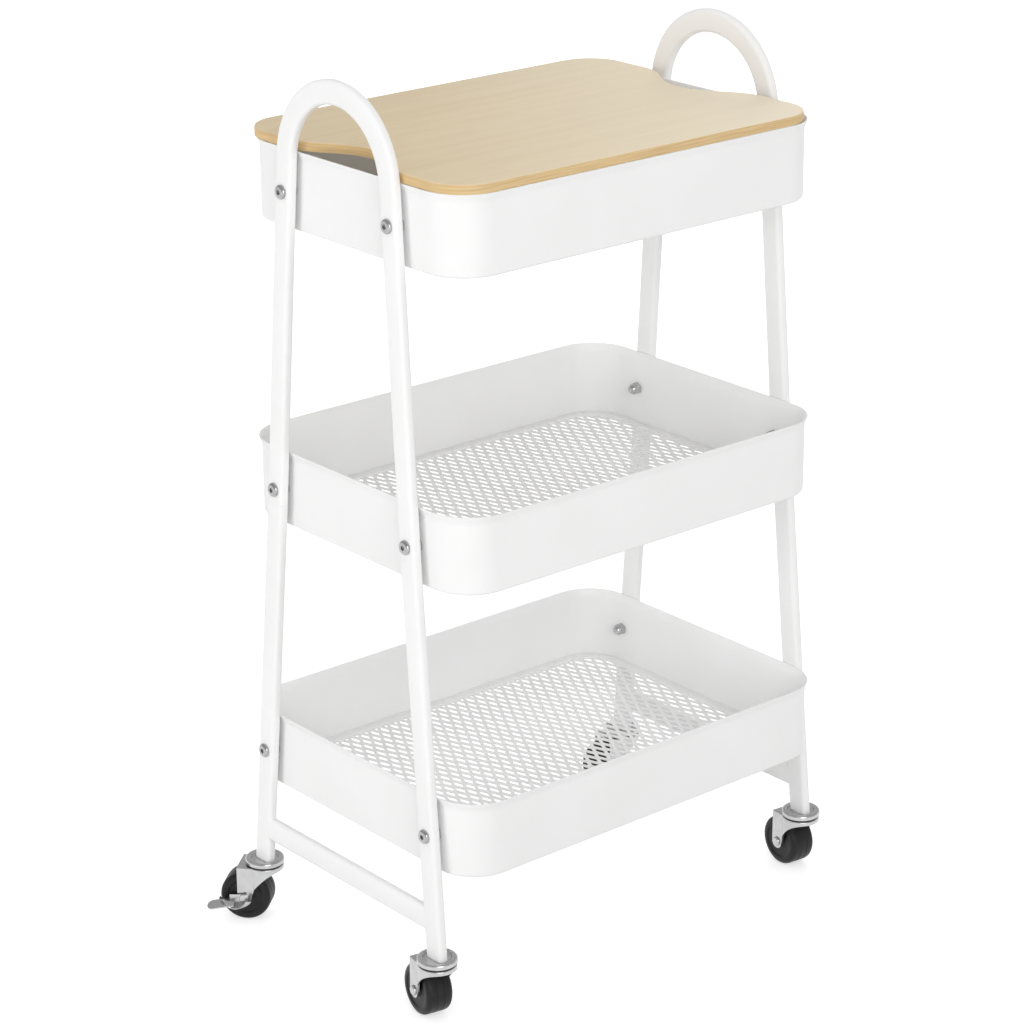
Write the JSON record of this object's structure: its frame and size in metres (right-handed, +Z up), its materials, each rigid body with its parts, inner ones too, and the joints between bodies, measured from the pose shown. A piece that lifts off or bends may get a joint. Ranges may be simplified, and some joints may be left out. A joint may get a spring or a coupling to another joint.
{
  "type": "rolling utility cart",
  "caption": "Tiered rolling utility cart with mesh-floored sheet trays, arched tube handles, swivel casters and a lift-off wooden lid.",
  "frame": {"origin": "on the floor, midway between the four casters", "axes": "+X along the trays, +Y from the side nearest the camera to the back, +Z up"},
  "size_m": [0.4841, 0.3079, 0.763],
  "materials": {
    "white_paint": "smooth white powder coat",
    "oak_board": "light oak veneer, satin",
    "zinc": "bright zinc plate",
    "black_plastic": "moulded black plastic"
  },
  "bodies": {
    "frame": {"tray_top": "white_paint", "mesh_floor_top": "white_paint", "tray_middle": "white_paint", "mesh_floor_middle": "white_paint", "tray_bottom": "white_paint", "mesh_floor_bottom": "white_paint", "upper_leg_left": "white_paint", "crossbar_left": "white_paint", "lower_leg_front_left": "white_paint", "caster_stem_front_left": "zinc", "bearing_ring_front_left": "black_plastic", "lower_leg_back_left": "white_paint", "caster_stem_back_left": "zinc", "bearing_ring_back_left": "black_plastic", "upper_leg_right": "white_paint", "crossbar_right": "white_paint", "lower_leg_front_right": "white_paint", "caster_stem_front_right": "zinc", "bearing_ring_front_right": "black_plastic", "lower_leg_back_right": "white_paint", "caster_stem_back_right": "zinc", "bearing_ring_back_right": "black_plastic", "leg_sleeves": "zinc", "leg_plugs": "black_plastic", "tray_bolts": "zinc", "spacer_bushes": "zinc", "cap_nuts": "zinc"},
    "lid": {"lid": "oak_board"},
    "swivel_front_left": {"caster_fork_front_left": "zinc", "axle_front_left": "zinc"},
    "wheel_front_left": {"wheel_front_left": "black_plastic"},
    "swivel_back_left": {"caster_fork_back_left": "zinc", "axle_back_left": "zinc"},
    "wheel_back_left": {"wheel_back_left": "black_plastic"},
    "brake_back_left": {"brake_lever_back_left": "zinc"},
    "swivel_front_right": {"caster_fork_front_right": "zinc", "axle_front_right": "zinc"},
    "wheel_front_right": {"wheel_front_right": "black_plastic"},
    "swivel_back_right": {"caster_fork_back_right": "zinc", "axle_back_right": "zinc"},
    "wheel_back_right": {"wheel_back_right": "black_plastic"},
    "brake_back_right": {"brake_lever_back_right": "zinc"}
  },
  "joints": [
    {"name": "lid_lift", "type": "slide", "parent": "frame", "child": "lid", "axis": [0, 0, 1], "range_m": [0, 0.09]},
    {"name": "swivel_front_left", "type": "hinge", "parent": "frame", "child": "swivel_front_left", "pos_m": [-0.20961, -0.1194, 0.051], "axis": [0, 0, 1], "continuous": true},
    {"name": "roll_front_left", "type": "hinge", "parent": "swivel_front_left", "child": "wheel_front_left", "pos_m": [-0.20683, -0.10365, 0.0223], "axis": [0.9848, -0.1736, 0], "continuous": true},
    {"name": "swivel_back_left", "type": "hinge", "parent": "frame", "child": "swivel_back_left", "pos_m": [-0.20961, 0.1194, 0.051], "axis": [0, 0, 1], "continuous": true},
    {"name": "roll_back_left", "type": "hinge", "parent": "swivel_back_left", "child": "wheel_back_left", "pos_m": [-0.2199, 0.13166, 0.0223], "axis": [0.766, 0.6428, 0], "continuous": true},
    {"name": "brake_back_left", "type": "hinge", "parent": "swivel_back_left", "child": "brake_back_left", "pos_m": [-0.2199, 0.13166, 0.0223], "axis": [-0.766, -0.6428, 0], "range_deg": [0, 18]},
    {"name": "swivel_front_right", "type": "hinge", "parent": "frame", "child": "swivel_front_right", "pos_m": [0.20961, -0.1194, 0.051], "axis": [0, 0, 1], "continuous": true},
    {"name": "roll_front_right", "type": "hinge", "parent": "swivel_front_right", "child": "wheel_front_right", "pos_m": [0.21128, -0.10349, 0.0223], "axis": [0.9945, -0.1045, 0], "continuous": true},
    {"name": "swivel_back_right", "type": "hinge", "parent": "frame", "child": "swivel_back_right", "pos_m": [0.20961, 0.1194, 0.051], "axis": [0, 0, 1], "continuous": true},
    {"name": "roll_back_right", "type": "hinge", "parent": "swivel_back_right", "child": "wheel_back_right", "pos_m": [0.19385, 0.12218, 0.0223], "axis": [0.1736, 0.9848, 0], "continuous": true},
    {"name": "brake_back_right", "type": "hinge", "parent": "swivel_back_right", "child": "brake_back_right", "pos_m": [0.19385, 0.12218, 0.0223], "axis": [-0.1736, -0.9848, 0], "range_deg": [0, 18]}
  ]
}
